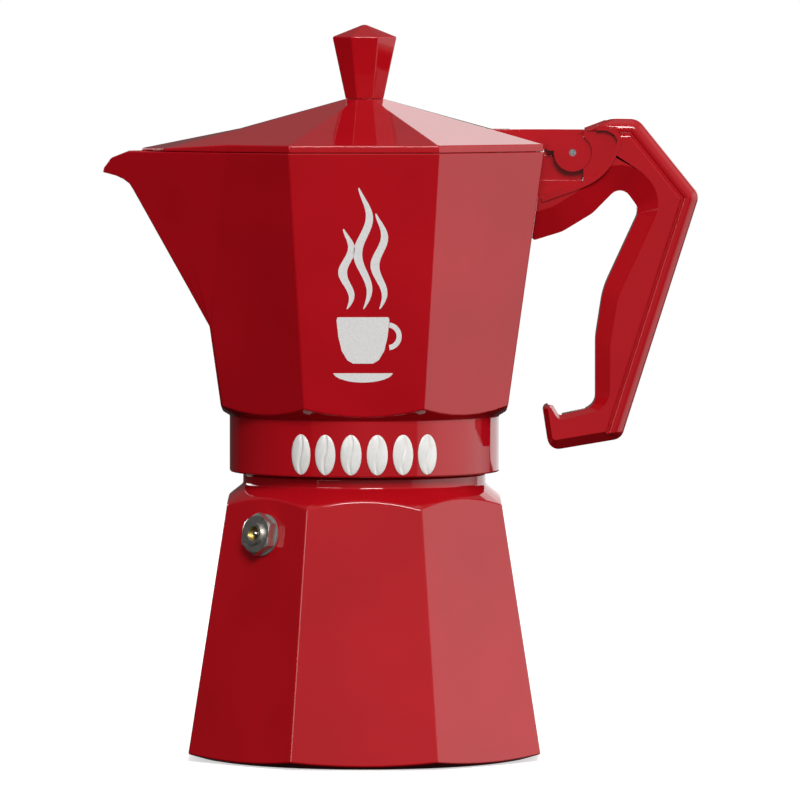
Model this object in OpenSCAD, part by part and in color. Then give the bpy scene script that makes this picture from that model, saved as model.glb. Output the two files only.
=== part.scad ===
// Six-cup stovetop moka pot, eight-sided, with its lid hinged over the handle.
// Millimetres, +Z up. The origin is the centre of the boiler's underside, the spout
// points to -X and the handle to +X. Two facets of every eight-sided shape face +-X.

/* [Boiler] */
// Half-width across the flats, extended down to the table
boiler_a = 52.35; // [50:0.05:54]
// How much the half-width shrinks for each millimetre of height
boiler_taper = 0.1545; // [0.14:0.0005:0.17]
// Thickness of the boiler's wall at the middle of a facet
boiler_wall = 3.2; // [2.5:0.1:4]
// Thickness of the boiler's floor
boiler_floor = 4; // [3:0.5:5]
// Radius of the plain neck that shows under the collar
neck_r = 36.1; // [35.9:0.1:36.5]
// Height of the neck's top edge, where the funnel sits
neck_top = 96; // [95:0.5:96]

/* [Upper pot] */
// Outer radius of the round collar
collar_r = 40.1; // [39.5:0.1:41]
// Height of the collar's lower edge
collar_bottom = 84.9; // [84.5:0.1:86]
// Half-width across the flats at the rim
rim_a = 52.9; // [52:0.1:54]
// How much the half-width grows for each millimetre of height
pot_taper = 0.14; // [0.13:0.005:0.15]
// Height of the rim
rim_z = 180; // [179:0.5:181]
// Thickness of the upper pot's wall
pot_wall = 3.2; // [2.8:0.1:3.6]
// Wall of the spout near its tip
spout_wall = 1.7; // [1.5:0.1:2]

/* [Lid] */
// Rise of the roof for each millimetre towards the middle
roof_slope = 0.281; // [0.26:0.001:0.3]
// Thickness of the lid
lid_wall = 2; // [1.8:0.1:2.4]
// Height of the knob with its pointed top
knob_h = 22; // [20:0.5:24]
// Half-width of the knob across its flats, at the widest
knob_a = 9.5; // [9:0.1:10]

/* [Hinge] */
// Distance of the hinge pin from the pot's axis
pin_x = 61.6; // [61.4:0.1:61.8]
// Radius of the hinge pin
pin_r = 1.05; // [0.9:0.05:1.2]
// Radial running clearance of the pin in the pot's lug
pin_clearance = 0.07; // [0.03:0.01:0.09]

/* [Handle] */
// Half of the handle's thickness
handle_y = 9.3; // [8.8:0.1:9.8]

/* [Safety valve] */
// Height of the valve's centre on its facet
valve_z = 67.6; // [60:0.1:68]
// Width across the flats of the valve's hexagon
valve_hex = 11; // [10:0.5:12]

/* [Brewing parts] */
// Radius of the funnel's basket
basket_r = 30.8; // [30.4:0.1:30.9]
// Height of the lower end of the funnel's tube above the table
tube_bottom = 8; // [7:0.5:12]

/* [Hidden] */
$fn = 96;

red = "#a5141c";
cast_metal = "#b9bbbd";
steel = "#c9cccf";
nickel = "#a9aca9";
brass = "#c9a85c";
rubber_white = "#dcd8cf";

// Faces of neighbouring bodies that rest on each other keep this gap
seat = 0.05;
octant = 45;

// Heights of the stack that the screwed collar clamps on the neck
flange_z = neck_top + seat;
flange_t = 1.2;
gasket_z = flange_z + flange_t + seat;
gasket_t = 3;
plate_z = gasket_z + gasket_t + seat;
plate_t = 0.8;
plate_top = plate_z + plate_t;

// The thread's roots: both halves are plain here, half a thread depth apart
neck_core_r = 33.9;
collar_bore_r = 35.7;
collar_top = 101.6;
floor_rim_z = 105;
hub_z = 113;
hub_r = 6;

// Hinge: the lug's knuckle in the middle, the lid's two ears outside it
pin_z = rim_z - 0.4;
lug_y = 4.4;
fence_y = 3.6;
ear_in = 4.7;
ear_out = 7.4;
knuckle_r = 5;
ear_r = 5.6;
ear_reach = 7.6;
handle_seat_r = 7.9;
cheek_y = 7.6;
leaf_y = 8.3;
head_seat_z = 161.5;
tongue_top = rim_z + 6.5;
tongue_end = pin_x + 3;
screw_x = 59;

// The spout's two flanks are planes that meet in a leaning edge ahead of the lip
spout_apex = [-80, 0, rim_z];
spout_lean = 13.8;
spout_spread = 41.8;
spout_root = [-45.6, 128.5];

lid_z = rim_z + 0.1;
roof_z = rim_z + 2.2;
roof_flat_a = 5.7;
edge_a = rim_a - 0.2;
roof_top = roof_z + (edge_a - roof_flat_a) * roof_slope;

// Plan points of the lid's beak: its crease runs from the middle over the hip to the eave
beak_mid = [-35.5, 0];
beak_hip = [-37.67, 15.6];
beak_root = [-40.3, 34.5];
beak_side = [-59, 18.2];
beak_tip = [-66, 5];
crease_lap = 0.9;

function boiler_at(z) = boiler_a - boiler_taper * z;
function pot_at(z) = rim_a - pot_taper * (rim_z - z);
function roof_at(a) = roof_z + (edge_a - a) * roof_slope;

valve_a = boiler_at(valve_z);
valve_tilt = atan(boiler_taper);

// ---------- shapes used by several parts ----------

function unit(v) = v / norm(v);

// The arc that rounds the corner b between a and c, as points; r = 0 keeps the corner
function corner(a, b, c, r, steps = 7) =
    let (u = unit(a - b), v = unit(c - b), half = acos(u * v) / 2)
    r == 0 || half > 89.5 ? [b] :
    let (centre = b + unit(u + v) * r / sin(half),
         p = b + u * r / tan(half) - centre,
         q = b + v * r / tan(half) - centre,
         sweep = acos(min(1, p * q / (r * r))),
         turn = p.x * q.y - p.y * q.x > 0 ? sweep : -sweep)
    [for (i = [0:steps - 1]) let (t = turn * i / (steps - 1))
        centre + [p.x * cos(t) - p.y * sin(t), p.x * sin(t) + p.y * cos(t)]];

// A closed outline from corners [x, y, radius]
function rounded(pts) =
    [for (i = [0:len(pts) - 1])
        let (n = len(pts), a = pts[(i + n - 1) % n], b = pts[i], c = pts[(i + 1) % n])
        each corner([a.x, a.y], [b.x, b.y], [c.x, c.y], b.z)];

// A side outline in X and Z, made a slab from y0 to y1
module slab(y0, y1) {
    translate([0, y1, 0])
        rotate([90, 0, 0])
            linear_extrude(height = y1 - y0)
                children();
}

// Eight-sided solid from its half-widths: [half-width, height] from the bottom up
module eight_sided(profile) {
    other_side = [for (i = [len(profile) - 1:-1:0]) [-profile[i].x, profile[i].y]];
    intersection_for (i = [0:3])
        rotate([0, 0, octant * i])
            slab(-120, 120)
                polygon(concat(profile, other_side));
}

module revolved(profile) {
    rotate_extrude()
        polygon(profile);
}

// Rings of holes for a perforated disc, one hole in the middle
module hole_rings(rings, pitch, r, z, t) {
    translate([0, 0, z - 0.5]) {
        cylinder(r = r, h = t + 1, $fn = 24);
        for (k = [1:rings])
            for (i = [0:6 * k - 1])
                rotate([0, 0, 360 * i / (6 * k)])
                    translate([k * pitch, 0, 0])
                        cylinder(r = r, h = t + 1, $fn = 24);
    }
}

// ---------- boiler ----------

// Puts children on the valve's axis: z = 0 on the facet, +Z outwards
module on_valve_axis() {
    rotate([0, 0, 225])
        translate([valve_a, 0, valve_z])
            rotate([0, 90 - valve_tilt, 0])
                children();
}

valve_thread_r = 4.9;

module boiler() {
    color(red)
        difference() {
            union() {
                intersection() {
                    eight_sided([[boiler_at(0), 0], [boiler_at(82), 82]]);
                    revolved([[0, 0], [47.3, 0], [49.6, 0.4], [58, 2.9], [58, 67.1],
                              [44, 75.7], [40.5, 78], [neck_r, 81.4], [0, 81.4]]);
                }
                revolved([[0, 70], [neck_r, 70], [neck_r, 84.2], [neck_core_r, 85.4],
                          [neck_core_r, neck_top - 0.6], [neck_core_r - 0.6, neck_top],
                          [0, neck_top]]);
            }
            difference() {
                revolved([[0, boiler_floor], [45.5, boiler_floor],
                          [boiler_at(8) - boiler_wall, boiler_floor + 4],
                          [boiler_at(74) - boiler_wall, 74],
                          [basket_r + 0.4, 80.5], [basket_r + 0.4, neck_top + 1],
                          [0, neck_top + 1]]);
                on_valve_axis()
                    translate([0, 0, -5.5])
                        cylinder(r = 8, h = 5);
            }
            on_valve_axis()
                translate([0, 0, -12])
                    cylinder(r = valve_thread_r, h = 20);
        }
}

// ---------- safety valve ----------

washer_t = 0.6;
hex_t = 2.8;
valve_face = washer_t + hex_t + 0.9;
chamber_r = 2.2;
seat_w = -6;
retainer_w = 2.6;

module valve_body() {
    color(nickel)
        on_valve_axis()
            difference() {
                union() {
                    translate([0, 0, -8])
                        cylinder(r = valve_thread_r, h = 8 + washer_t);
                    intersection() {
                        translate([0, 0, washer_t])
                            cylinder(r = valve_hex / 2 / cos(30), h = hex_t, $fn = 6);
                        revolved([[0, 0], [6.1, 0], [6.1, washer_t], [6.6, washer_t + 0.4],
                                  [6.6, washer_t + hex_t - 0.5], [5.5, washer_t + hex_t],
                                  [0, washer_t + hex_t]]);
                    }
                    translate([0, 0, washer_t])
                        cylinder(r = 3.1, h = valve_face - washer_t);
                }
                translate([0, 0, -9])
                    cylinder(r = 1.2, h = 9);
                translate([0, 0, seat_w])
                    cylinder(r = chamber_r, h = 20);
            }
}

module valve_washer() {
    color("#7d7f7c")
        on_valve_axis()
            difference() {
                cylinder(r = 6.2, h = washer_t);
                translate([0, 0, -1])
                    cylinder(r = valve_thread_r, h = 3);
            }
}

module valve_pin() {
    color(steel)
        on_valve_axis()
            revolved([[0, seat_w + seat], [1.5, seat_w + seat], [1.9, seat_w + 0.4],
                      [1.9, seat_w + 1], [0.8, seat_w + 1], [0.8, 3.6], [0.5, 3.9], [0, 3.9]]);
}

// Coil of round wire between the pin's head and the retainer
module valve_spring() {
    wire_r = 0.28;
    coil_r = 1.5;
    turns = 6;
    sides = 8;
    steps = turns * 14;
    low = seat_w + 1.1 + wire_r;
    high = retainer_w - 0.1 - wire_r;
    pts = [for (i = [0:steps]) for (k = [0:sides - 1])
        let (t = 360 * turns * i / steps, w = 360 * k / sides,
             r = coil_r + wire_r * cos(w))
        [r * cos(t), r * sin(t), low + (high - low) * i / steps + wire_r * sin(w)]];
    skin = [for (i = [0:steps - 1]) for (k = [0:sides - 1])
        let (a = i * sides + k, b = i * sides + (k + 1) % sides)
        each [[a, a + sides, b + sides], [a, b + sides, b]]];
    color(steel)
        on_valve_axis()
            polyhedron(points = pts,
                       faces = concat(skin, [[for (k = [0:sides - 1]) k],
                                             [for (k = [sides - 1:-1:0]) steps * sides + k]]));
}

module valve_retainer() {
    color(brass)
        on_valve_axis()
            difference() {
                translate([0, 0, retainer_w])
                    cylinder(r = chamber_r, h = 0.6);
                translate([0, 0, retainer_w - 1])
                    cylinder(r = 0.95, h = 3);
            }
}

// ---------- brewing parts ----------

basket_floor = 74;
tube_r = 6;

module funnel() {
    color(cast_metal)
        difference() {
            revolved([[0, basket_floor - 3], [tube_r, basket_floor - 3], [tube_r + 2, basket_floor - 2.2],
                      [basket_r - 2, basket_floor], [basket_r, basket_floor + 2],
                      [basket_r, flange_z], [32.5, flange_z], [32.5, flange_z + flange_t],
                      [basket_r - 0.8, flange_z + flange_t], [basket_r - 0.8, basket_floor + 2.4],
                      [basket_r - 2.2, basket_floor + 1], [0, basket_floor - 1]]);
            translate([0, 0, basket_floor - 10])
                cylinder(r = tube_r - 1, h = 20);
        }
    color(cast_metal)
        difference() {
            translate([0, 0, tube_bottom])
                cylinder(r = tube_r, h = basket_floor - 3 - tube_bottom + 0.5);
            translate([0, 0, tube_bottom - 1])
                cylinder(r = tube_r - 1, h = 90);
            for (s = [0, 1])
                rotate([0, 0, 90 * s])
                    translate([-tube_r - 1, -1, tube_bottom - 1])
                        cube([2 * tube_r + 2, 2, 3]);
        }
}

module funnel_disc() {
    color(steel)
        difference() {
            translate([0, 0, basket_floor + 1.1])
                cylinder(r = basket_r - 2.4, h = 0.8);
            hole_rings(4, 5.4, 0.9, basket_floor + 1.1, 0.8);
        }
}

module gasket() {
    color(rubber_white)
        revolved([[27, gasket_z + 0.3], [27.3, gasket_z], [32.1, gasket_z], [32.4, gasket_z + 0.3],
                  [32.4, gasket_z + gasket_t - 0.3], [32.1, gasket_z + gasket_t],
                  [27.3, gasket_z + gasket_t], [27, gasket_z + gasket_t - 0.3]]);
}

module filter_plate() {
    color(steel)
        difference() {
            translate([0, 0, plate_z])
                cylinder(r = 28.5, h = plate_t);
            hole_rings(5, 4.3, 0.7, plate_z, plate_t);
        }
}

// ---------- upper pot ----------

// The wedge between the spout's flanks, moved back by the wall's thickness
module spout_wedge(inset) {
    reach = 60;
    translate(spout_apex)
        rotate([0, -spout_lean, 0])
            translate([inset / sin(spout_spread), 0, -70])
                linear_extrude(height = 140)
                    polygon([[0, 0], [reach, reach * tan(spout_spread)],
                             [reach, -reach * tan(spout_spread)]]);
}

module spout_outer() {
    intersection() {
        spout_wedge(0);
        slab(-60, 60)
            polygon(rounded([[-30, 128.5, 0], [spout_root.x, spout_root.y, 0], [-70.4, 172.4, 9],
                             [-77.9, 173.7, 0.4], [-75.4, 177.9, 2], [-70.2, rim_z, 0],
                             [-30, rim_z, 0]]));
    }
}

module spout_channel() {
    intersection() {
        spout_wedge(spout_wall);
        slab(-60, 60)
            polygon(rounded([[-30, 124, 0], [spout_root.x + 5.2, 124, 0],
                             [-69.5, 174, 8], [-84, 177.2, 0], [-84, rim_z + 5, 0],
                             [-30, rim_z + 5, 0]]));
    }
}

// Lug of the hinge, cast on the pot: a wide block under a narrow web and its knuckle
module lug() {
    slab(-7, 7)
        polygon([[49, 166.1], [64.5, 170.9], [64.5, 171.5], [49, 171.5]]);
    slab(-lug_y, lug_y)
        polygon([[49, 167], [64.5, 170.9], [64.5, 172.3], [65.7, 172.3], [65.7, 174.6],
                 [65.2, 176], [pin_x + 3, pin_z - 3], [pin_x - 4.4, pin_z - 2.6],
                 [55.5, pin_z - 0.6], [50, pin_z - 0.6]]);
    // a low fence behind the eaves, which closes the view between the pot and the ears
    slab(-fence_y, fence_y)
        polygon([[51, 176], [57, 176], [57, 181.4], [53.2, 181.4], [53.2, 179.6], [51, 179.6]]);
    translate([pin_x, lug_y, pin_z])
        rotate([90, 0, 0])
            cylinder(r = knuckle_r, h = 2 * lug_y);
}

module upper_pot() {
    color(red)
        difference() {
            union() {
                intersection() {
                    eight_sided([[pot_at(98), 98], [rim_a, rim_z]]);
                    revolved([[0, 98], [collar_r, 98], [collar_r, collar_top], [42.3, 103.4],
                              [45.9, 105.1], [75, 119], [75, rim_z], [0, rim_z]]);
                }
                revolved([[0, collar_bottom], [collar_r - 0.6, collar_bottom],
                          [collar_r, collar_bottom + 0.6], [collar_r, collar_top], [0, collar_top]]);
                spout_outer();
                lug();
            }
            intersection() {
                union() {
                    eight_sided([[pot_at(100) - pot_wall, 100], [pot_at(190) - pot_wall, 190]]);
                    spout_channel();
                }
                revolved([[0, hub_z], [8, hub_z], [36, floor_rim_z + 0.4], [38.5, floor_rim_z + 1.6],
                          [120, floor_rim_z + 30], [120, rim_z + 5], [0, rim_z + 5]]);
            }
            revolved([[0, collar_bottom - 1], [collar_bore_r + 0.6, collar_bottom - 1],
                      [collar_bore_r + 0.6, collar_bottom + 0.4],
                      [collar_bore_r, collar_bottom + 1.2], [collar_bore_r, flange_z + 0.6],
                      [32.8, flange_z + 0.6], [32.8, plate_z], [28.8, plate_z],
                      [28.8, plate_top + seat], [27, plate_top + seat],
                      [hub_r, plate_top + 8.6], [hub_r, hub_z + 1], [0, hub_z + 1]]);
            translate([pin_x, 20, pin_z])
                rotate([90, 0, 0])
                    cylinder(r = pin_r + pin_clearance, h = 40);
            translate([screw_x, 0, 160])
                cylinder(r = 2, h = 13);
        }
}

// Riser: a tube with a closed, rounded head and two outlets in its sides
column_top = 165;
module column() {
    color(cast_metal)
        difference() {
            revolved(concat([[0, plate_top + 9], [hub_r, plate_top + 9], [hub_r, hub_z],
                             [9, hub_z], [9, hub_z + 1.2], [8.2, hub_z + 4]],
                            [for (i = [0:8]) let (t = 90 * i / 8)
                                [7 * cos(t), column_top - 6 + 6 * sin(t)]]));
            revolved([[0, plate_top + 8], [4.6, plate_top + 8], [4.6, column_top - 8],
                      [2, column_top - 3.5], [0, column_top - 3.5]]);
            for (s = [-1, 1])
                translate([-1.6, s > 0 ? 2 : -12, column_top - 15])
                    cube([3.2, 10, 8]);
        }
}

// Row of raised beans on the front of the collar
bean_count = 6;
bean_pitch = 11;
crease_w = 0.8;
module collar_ornament() {
    arc_r = 7.4;
    color("#e6e6e4")
        for (i = [0:bean_count - 1])
            rotate([0, 0, bean_pitch * (i - (bean_count - 1) / 2)])
                intersection() {
                    difference() {
                        translate([0, -30, 91.6])
                            rotate([90, 0, 0])
                                intersection_for (s = [-1, 1])
                                    translate([s * 4.3, 0, 0])
                                        cylinder(r = arc_r, h = 20);
                        // the crease down the bean's middle
                        translate([-crease_w / 2, -60, 80])
                            cube([crease_w, 60 - collar_r - 0.3, 24]);
                    }
                    difference() {
                        cylinder(r = collar_r + 0.7, h = 120);
                        translate([0, 0, -1])
                            cylinder(r = collar_r, h = 130);
                    }
                }
}

// ---------- handle ----------

// Side outline: front plate along the pot, top, back corner, grip, hooked foot, arch
handle_outline = rounded([
    [pot_at(153.4) + 0.3, 153.4, 0.8], [pot_at(166.4) + 0.3, 166.75, 0], [64.7, 170.87, 0],
    [64.8, 172, 0], [64.8, 186.6, 0.4], [73, 189.7, 9], [81, 189.6, 5], [99.2, 167, 3.6],
    [76.1, 94.8, 3.5], [54.8, 91.2, 3.2], [52.7, 104.9, 1.6], [55.8, 104.9, 0.9],
    [57.7, 101.7, 1.2], [68.5, 104.4, 4], [68.5, 125, 22], [70.7, 139.2, 25],
    [81.5, 162.6, 4], [76, 170.2, 3.4], [67.5, 161.6, 9], [58.6, 156.2, 9]]);

// Sunk leaf-shaped side behind the hinge
leaf_outline = rounded([
    [60, 186.1, 0], [71.6, 186.4, 3], [75.2, 183.4, 1.4], [72.4, 176.4, 8],
    [65.2, 170.9, 0], [60, 169, 0]]);

module handle() {
    color(red)
        difference() {
            slab(-handle_y, handle_y)
                polygon(handle_outline);
            for (s = [-1, 1])
                slab(s > 0 ? leaf_y : -20, s > 0 ? 20 : -leaf_y)
                    polygon(leaf_outline);
            // room for the ears to turn between the handle's two thin cheeks
            translate([pin_x, cheek_y, pin_z])
                rotate([90, 0, 0])
                    cylinder(r = handle_seat_r, h = 2 * cheek_y);
            translate([pin_x, 20, pin_z])
                rotate([90, 0, 0])
                    cylinder(r = ear_r + 0.2, h = 40);
            translate([60, -5.4, 172])
                cube([11.5, 10.8, 30]);
            translate([screw_x, 0, 150])
                cylinder(r = 2.15, h = 30);
            translate([screw_x, 0, 150])
                cylinder(r = 4, h = head_seat_z - 150);
        }
}

module handle_screw() {
    color(steel)
        difference() {
            union() {
                translate([screw_x, 0, head_seat_z - 2.6])
                    cylinder(r = 3.6, h = 2.6);
                translate([screw_x, 0, head_seat_z - 1])
                    cylinder(r = 2, h = 11.9);
            }
            for (across = [[6, 0.9], [0.9, 6]])
                translate([screw_x - across.x / 2, -across.y / 2, head_seat_z - 4])
                    cube([across.x, across.y, 2.4]);
        }
}

// ---------- lid ----------

// A thin upright line of the beak's block, from its foot to its top
module beak_line(x, y, foot, top) {
    translate([x, y, foot])
        cylinder(r = 0.05, h = top - foot, $fn = 4);
}

// The beak over the spout, as one convex block; inset makes its hollow
module beak(inset) {
    foot = lid_z - (inset > 0 ? 1 : 0);
    drop = inset > 0 ? 1 : 0;
    hull() {
        beak_line(beak_mid.x + inset, 0, foot, roof_at(-beak_mid.x) - inset);
        beak_line(beak_mid.x + 1, 0, foot, roof_at(-beak_mid.x) - inset);
        beak_line(beak_tip.x + 2 * inset, 0, foot, rim_z + 1.1 - drop * 0.6);
        for (s = [-1, 1]) {
            beak_line(beak_hip.x + inset, s * beak_hip.y, foot, roof_at(-beak_hip.x) - inset);
            beak_line(beak_root.x + inset, s * (beak_root.y - 1.8 * inset), foot, roof_z - drop);
            beak_line(beak_root.x + 1 + inset, s * (beak_root.y - 1.8 * inset), foot, roof_z - drop);
            beak_line(beak_side.x + 1.3 * inset, s * (beak_side.y - 0.9 * inset), foot,
                      lid_z + 0.8 - drop * 0.5);
            beak_line(beak_tip.x + 2 * inset, s * (beak_tip.y - 0.9 * inset), foot,
                      lid_z + 0.7 - drop * 0.4);
        }
    }
}

// The plan area past the crease, where the beak takes over from the eight-sided roof
module past_the_crease() {
    half = [beak_mid, beak_hip, beak_root, [-100, 60]];
    other = [for (i = [3:-1:1]) [half[i].x, -half[i].y]];
    translate([-crease_lap, 0, lid_z - 1])
        linear_extrude(height = 20)
            polygon(concat(half, other));
}

skirt_a = pot_at(178) - pot_wall - 0.5;
hollow_a = skirt_a - 1.3;
under_top = roof_top - lid_wall;
boss_t = 3;
screw_seat_z = under_top - boss_t;

// One side of the hinge: the ear round the pin, and the tongue's thinner cheek
module ear_and_cheek(s) {
    slab(s > 0 ? ear_in - 0.3 : -ear_out, s > 0 ? ear_out : -ear_in + 0.3)
        union() {
            translate([pin_x, pin_z])
                circle(r = ear_r);
            intersection() {
                translate([pin_x, pin_z])
                    circle(r = ear_reach);
                polygon([[50, pin_z + 0.6], [tongue_end, pin_z + 0.6],
                         [tongue_end, tongue_top], [50, tongue_top]]);
            }
        }
    slab(s > 0 ? ear_in - 0.8 : -ear_in, s > 0 ? ear_in : -ear_in + 0.8)
        difference() {
            polygon([[46, lid_z + 0.4], [pin_x, lid_z + 0.4], [tongue_end, tongue_top],
                     [46, tongue_top]]);
            translate([pin_x, pin_z])
                circle(r = knuckle_r + 0.4);
        }
}

module lid() {
    color(red)
        difference() {
            union() {
                difference() {
                    union() {
                        difference() {
                            eight_sided([[edge_a, lid_z], [edge_a, roof_z],
                                         [roof_flat_a, roof_top]]);
                            past_the_crease();
                        }
                        beak(0);
                        // locating skirt just inside the pot's wall, left out at the spout
                        intersection() {
                            eight_sided([[skirt_a, 178], [skirt_a, roof_z]]);
                            translate([-41, -60, 170])
                                cube([100, 120, 20]);
                        }
                    }
                    difference() {
                        union() {
                            eight_sided([[hollow_a, 170], [hollow_a, roof_z - 0.6],
                                         [roof_flat_a, under_top]]);
                            beak(2);
                        }
                        translate([0, 0, screw_seat_z])
                            cylinder(r = 7, h = 20);
                    }
                }
                translate([44, -ear_in, pin_z + 5.4])
                    cube([tongue_end - 44, 2 * ear_in, tongue_top - pin_z - 5.4]);
                translate([38, -ear_in, roof_z + 2.4])
                    cube([10, 2 * ear_in, tongue_top - roof_z - 2.4]);
                for (s = [-1, 1])
                    ear_and_cheek(s);
            }
            translate([pin_x, 20, pin_z])
                rotate([90, 0, 0])
                    cylinder(r = pin_r, h = 40);
            // room for the knuckle
            translate([pin_x, lug_y + 0.3, pin_z])
                rotate([90, 0, 0])
                    cylinder(r = knuckle_r + 0.4, h = 2 * lug_y + 0.6);
            translate([0, 0, screw_seat_z - 1])
                cylinder(r = 2.2, h = 30);
        }
}

module hinge_pin() {
    color(steel)
        translate([pin_x, ear_out - 0.3, pin_z])
            rotate([90, 0, 0])
                cylinder(r = pin_r, h = 2 * (ear_out - 0.3));
}

insert_h = 10;
module knob() {
    low_a = 5.6;
    point_h = 3.6;
    body_h = knob_h - point_h;
    color(red)
        difference() {
            eight_sided([[low_a, roof_top + seat], [knob_a, roof_top + body_h],
                         [0.8, roof_top + knob_h]]);
            translate([0, 0, roof_top - 1])
                cylinder(r = 3, h = insert_h + 1.6);
        }
}

module knob_insert() {
    color(brass)
        difference() {
            translate([0, 0, roof_top + 0.3])
                cylinder(r = 3, h = insert_h);
            translate([0, 0, roof_top - 1])
                cylinder(r = 2, h = insert_h - 0.5);
        }
}

module knob_screw() {
    head_z = screw_seat_z - 0.8;
    color(steel)
        difference() {
            union() {
                translate([0, 0, head_z - 2.4])
                    cylinder(r = 3.8, h = 2.4);
                translate([0, 0, head_z - 0.1])
                    cylinder(r = 2, h = roof_top + 8 - head_z);
            }
            translate([-3, -0.45, head_z - 3])
                cube([6, 0.9, 1.8]);
            translate([-0.45, -3, head_z - 3])
                cube([0.9, 6, 1.8]);
        }
}

module knob_washer() {
    color(steel)
        difference() {
            translate([0, 0, screw_seat_z - 0.8])
                cylinder(r = 5.2, h = 0.8);
            translate([0, 0, screw_seat_z - 2])
                cylinder(r = 2.1, h = 3);
        }
}

boiler();
valve_body();
valve_washer();
valve_pin();
valve_spring();
valve_retainer();
funnel();
funnel_disc();
gasket();
filter_plate();
upper_pot();
column();
collar_ornament();
handle();
handle_screw();
lid();
hinge_pin();
knob();
knob_insert();
knob_screw();
knob_washer();
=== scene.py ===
import math

import bmesh
import bpy
from mathutils import Matrix, Vector


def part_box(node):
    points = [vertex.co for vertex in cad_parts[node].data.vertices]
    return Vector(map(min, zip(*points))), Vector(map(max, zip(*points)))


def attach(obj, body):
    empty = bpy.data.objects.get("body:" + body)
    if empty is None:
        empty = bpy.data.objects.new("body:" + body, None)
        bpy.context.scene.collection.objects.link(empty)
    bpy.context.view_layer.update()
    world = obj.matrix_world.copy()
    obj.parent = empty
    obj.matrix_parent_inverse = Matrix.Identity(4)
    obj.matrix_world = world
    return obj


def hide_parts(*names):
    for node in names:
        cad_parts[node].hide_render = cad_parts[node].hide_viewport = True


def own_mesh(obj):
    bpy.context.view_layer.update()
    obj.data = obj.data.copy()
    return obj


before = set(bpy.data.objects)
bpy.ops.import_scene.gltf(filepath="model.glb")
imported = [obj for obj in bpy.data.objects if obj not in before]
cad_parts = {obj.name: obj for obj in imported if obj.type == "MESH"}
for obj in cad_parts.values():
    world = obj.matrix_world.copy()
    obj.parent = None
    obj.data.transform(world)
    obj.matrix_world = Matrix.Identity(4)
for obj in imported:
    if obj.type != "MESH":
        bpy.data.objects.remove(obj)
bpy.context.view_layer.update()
MM = 0.001


# ---------------------------------------------------------------- boiler
# The water chamber: an eight-sided aluminium casting with a turned neck, lacquered outside.
# Its faceted wall is cut by a cone at the foot and another at the shoulder, which leaves the
# scalloped edges. The neck's thread takes the collar of the upper pot.

def octagon(apothem, z):
    """The corners of a level octagon whose flats are square to X and Y."""
    reach = apothem / math.cos(math.pi / 8)
    angles = [math.pi / 8 * (2 * k + 1) for k in range(8)]
    return [Vector((reach * math.cos(a), reach * math.sin(a), z)) for a in angles]


def soft_ring(corners, cut=0.62, along=8, arc=4):
    """Points round a polygon, with each corner curved over a length cut of both its sides.

    Each corner gets arc + 1 points and each side along - 1 more between its corners.
    """
    ring = []
    for i, corner in enumerate(corners):
        following = corners[(i + 1) % len(corners)]
        back, ahead = corners[i - 1] - corner, following - corner
        start = corner + back * min(cut / back.length, 0.4)
        end = corner + ahead * min(cut / ahead.length, 0.4)
        next_start = following - ahead * min(cut / ahead.length, 0.4)
        for step in range(arc + 1):
            t = step / arc
            ring.append(start.lerp(corner, t).lerp(corner.lerp(end, t), t))
        ring += [end.lerp(next_start, step / along) for step in range(1, along)]
    return ring


def round_ring(like, radius, z):
    """A level circle with its points at the same angles about the axis as those of like."""
    flat = [Vector((p.x, p.y, 0)).normalized() * radius for p in like]
    return [Vector((p.x, p.y, z)) for p in flat]


def meet_cone(start, end, cone):
    """Where the lines from start to end leave a cone, given as its radius at a height."""
    ring = []
    for a, b in zip(start, end):
        near, far = 0.0, 1.0
        for _ in range(30):
            middle = (near + far) / 2
            p = a.lerp(b, middle)
            if math.hypot(p.x, p.y) < cone(p.z):
                near = middle
            else:
                far = middle
        ring.append(a.lerp(b, near))
    return ring


def loft(rings, eased={}, capped=False):
    """A skin through rings of equally many points.

    eased gives, by the ring's number, the width over which the edge along it is rounded.
    """
    bm = bmesh.new()
    ease = bm.edges.layers.float.new("ease")
    ring = bmesh.ops.create_circle(bm, segments=len(rings[0]), radius=1)["verts"]
    for i, points in enumerate(rings):
        if i:
            edges = [bm.edges.get((ring[k - 1], ring[k])) for k in range(len(ring))]
            made = set(bmesh.ops.extrude_edge_only(bm, edges=edges)["geom"])
            ring = [next(e.other_vert(v) for e in v.link_edges if e.other_vert(v) in made)
                    for v in ring]
        for v, point in zip(ring, points):
            v.co = point
        for k in range(len(ring)):
            bm.edges.get((ring[k - 1], ring[k]))[ease] = eased.get(i, 0)
        if capped and i in (0, len(rings) - 1):
            bm.faces.new(ring)
    bmesh.ops.remove_doubles(bm, verts=bm.verts, dist=1e-4)
    bmesh.ops.dissolve_degenerate(bm, dist=1e-4, edges=bm.edges)
    for width in sorted(set(eased.values())):
        edges = [e for e in bm.edges if abs(e[ease] - width) < 1e-5 and len(e.link_faces) == 2]
        bmesh.ops.bevel(bm, geom=edges, offset=width, offset_type="OFFSET", affect="EDGES",
                        segments=3, profile=0.5, material=-1, clamp_overlap=False)
    if capped:
        caps = [f for f in bm.faces if len(f.verts) > 8]
        bmesh.ops.triangulate(bm, faces=caps, quad_method="BEAUTY", ngon_method="EAR_CLIP")
    return bm


def make_piece(name, bm):
    """Turns a mesh in millimetres into an object in metres whose faces point outward."""
    bmesh.ops.recalc_face_normals(bm, faces=bm.faces)
    bmesh.ops.scale(bm, vec=(MM, MM, MM), verts=bm.verts)
    mesh = bpy.data.meshes.new(name)
    bm.to_mesh(mesh)
    bm.free()
    piece = bpy.data.objects.new(name, mesh)
    bpy.context.scene.collection.objects.link(piece)
    return piece


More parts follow.
